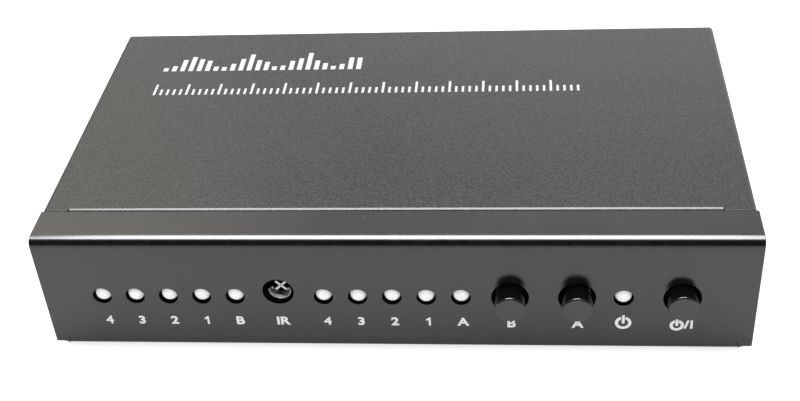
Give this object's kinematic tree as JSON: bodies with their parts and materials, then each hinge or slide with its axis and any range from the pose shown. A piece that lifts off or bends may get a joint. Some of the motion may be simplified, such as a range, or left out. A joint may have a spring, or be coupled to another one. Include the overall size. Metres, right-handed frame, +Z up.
{
  "type": "audio matrix switcher",
  "caption": "Low black sheet-metal case that routes optical audio inputs to separate outputs, with push buttons, indicator lamps, an infrared receiver and shuttered rear sockets.",
  "frame": {"origin": "under the middle of the whole box, on the surface that the feet stand on", "axes": "+X to the right seen from the front, +Y from the front panel to the rear sockets, +Z up"},
  "size_m": [0.132, 0.0786, 0.0272],
  "materials": {
    "panel_coat": "smooth satin black coat on folded sheet steel",
    "cover_coat": "fine sand-textured black powder coat on sheet steel",
    "black_screw": "black oxide on steel",
    "plated_steel": "bright zinc or nickel plate",
    "foot_rubber": "matte black moulded rubber",
    "board_laminate": "green solder mask on glass laminate",
    "lamp_lens": "milky diffused resin",
    "tinned_lead": "tinned",
    "receiver_resin": "polished black resin, clear to infrared only",
    "cap_plastic": "satin dark warm grey moulding",
    "plunger_plastic": "natural moulding",
    "switch_plastic": "black moulding",
    "spring_wire": "bright spring wire",
    "socket_plastic": "fine-grained black moulding",
    "shutter_plastic": "satin dark moulding",
    "optic_resin": "dark clear resin",
    "chip_resin": "moulded resin",
    "capacitor_sleeve": "shrunk dark sleeve"
  },
  "bodies": {
    "case": {"base_chassis": "panel_coat", "top_cover": "cover_coat", "cover_screws": "black_screw", "board_standoffs": "plated_steel", "board_screws": "plated_steel", "rubber_feet": "foot_rubber", "main_board": "board_laminate", "led_leads": "tinned_lead", "ir_receiver": "receiver_resin", "ir_receiver_leads": "tinned_lead", "switch_plates": "plated_steel", "switch_pins": "tinned_lead", "optical_elements": "optic_resin", "optical_pins": "tinned_lead", "dc_jack": "socket_plastic", "dc_jack_pin": "plated_steel", "dc_jack_blades": "tinned_lead", "matrix_chip": "chip_resin", "control_chip": "chip_resin", "chip_leads": "tinned_lead", "filter_capacitors": "capacitor_sleeve", "voltage_regulator": "chip_resin", "clock_crystal": "plated_steel", "chip_resistors": "chip_resin", "led_b4": "lamp_lens", "led_b3": "lamp_lens", "led_b2": "lamp_lens", "led_b1": "lamp_lens", "led_b": "lamp_lens", "led_a4": "lamp_lens", "led_a3": "lamp_lens", "led_a2": "lamp_lens", "led_a1": "lamp_lens", "led_a": "lamp_lens", "led_power": "lamp_lens", "button_b_switch": "switch_plastic", "button_b_spring": "spring_wire", "button_a_switch": "switch_plastic", "button_a_spring": "spring_wire", "button_power_switch": "switch_plastic", "button_power_spring": "spring_wire", "optical_input_1": "socket_plastic", "optical_input_2": "socket_plastic", "optical_input_3": "socket_plastic", "optical_input_4": "socket_plastic", "optical_output_a": "socket_plastic", "optical_output_b": "socket_plastic"},
    "button_b": {"button_b_cap": "cap_plastic", "button_b_plunger": "plunger_plastic"},
    "button_a": {"button_a_cap": "cap_plastic", "button_a_plunger": "plunger_plastic"},
    "button_power": {"button_power_cap": "cap_plastic", "button_power_plunger": "plunger_plastic"},
    "optical_input_1_flap": {"optical_input_1_shutter": "shutter_plastic"},
    "optical_input_2_flap": {"optical_input_2_shutter": "shutter_plastic"},
    "optical_input_3_flap": {"optical_input_3_shutter": "shutter_plastic"},
    "optical_input_4_flap": {"optical_input_4_shutter": "shutter_plastic"},
    "optical_output_a_flap": {"optical_output_a_shutter": "shutter_plastic"},
    "optical_output_b_flap": {"optical_output_b_shutter": "shutter_plastic"}
  },
  "joints": [
    {"name": "button_b_press", "type": "slide", "parent": "case", "child": "button_b", "axis": [0, 1, 0], "range_m": [0, 0.0015], "stiffness_N_per_m": 800, "springref_m": -0.0008, "deforming": ["button_b_spring"]},
    {"name": "button_a_press", "type": "slide", "parent": "case", "child": "button_a", "axis": [0, 1, 0], "range_m": [0, 0.0015], "stiffness_N_per_m": 800, "springref_m": -0.0008, "deforming": ["button_a_spring"]},
    {"name": "button_power_press", "type": "slide", "parent": "case", "child": "button_power", "axis": [0, 1, 0], "range_m": [0, 0.0015], "stiffness_N_per_m": 800, "springref_m": -0.0008, "deforming": ["button_power_spring"]},
    {"name": "optical_input_1_swing", "type": "hinge", "parent": "case", "child": "optical_input_1_flap", "pos_m": [0.034, 0.03805, 0.0171], "axis": [-1, 0, 0], "range_deg": [0, 88], "stiffness_Nm_per_rad": 0.0002, "springref_deg": -17.19},
    {"name": "optical_input_2_swing", "type": "hinge", "parent": "case", "child": "optical_input_2_flap", "pos_m": [0.019, 0.03805, 0.0171], "axis": [-1, 0, 0], "range_deg": [0, 88], "stiffness_Nm_per_rad": 0.0002, "springref_deg": -17.19},
    {"name": "optical_input_3_swing", "type": "hinge", "parent": "case", "child": "optical_input_3_flap", "pos_m": [0.004, 0.03805, 0.0171], "axis": [-1, 0, 0], "range_deg": [0, 88], "stiffness_Nm_per_rad": 0.0002, "springref_deg": -17.19},
    {"name": "optical_input_4_swing", "type": "hinge", "parent": "case", "child": "optical_input_4_flap", "pos_m": [-0.011, 0.03805, 0.0171], "axis": [-1, 0, 0], "range_deg": [0, 88], "stiffness_Nm_per_rad": 0.0002, "springref_deg": -17.19},
    {"name": "optical_output_a_swing", "type": "hinge", "parent": "case", "child": "optical_output_a_flap", "pos_m": [-0.032, 0.03805, 0.0171], "axis": [-1, 0, 0], "range_deg": [0, 88], "stiffness_Nm_per_rad": 0.0002, "springref_deg": -17.19},
    {"name": "optical_output_b_swing", "type": "hinge", "parent": "case", "child": "optical_output_b_flap", "pos_m": [-0.047, 0.03805, 0.0171], "axis": [-1, 0, 0], "range_deg": [0, 88], "stiffness_Nm_per_rad": 0.0002, "springref_deg": -17.19}
  ]
}
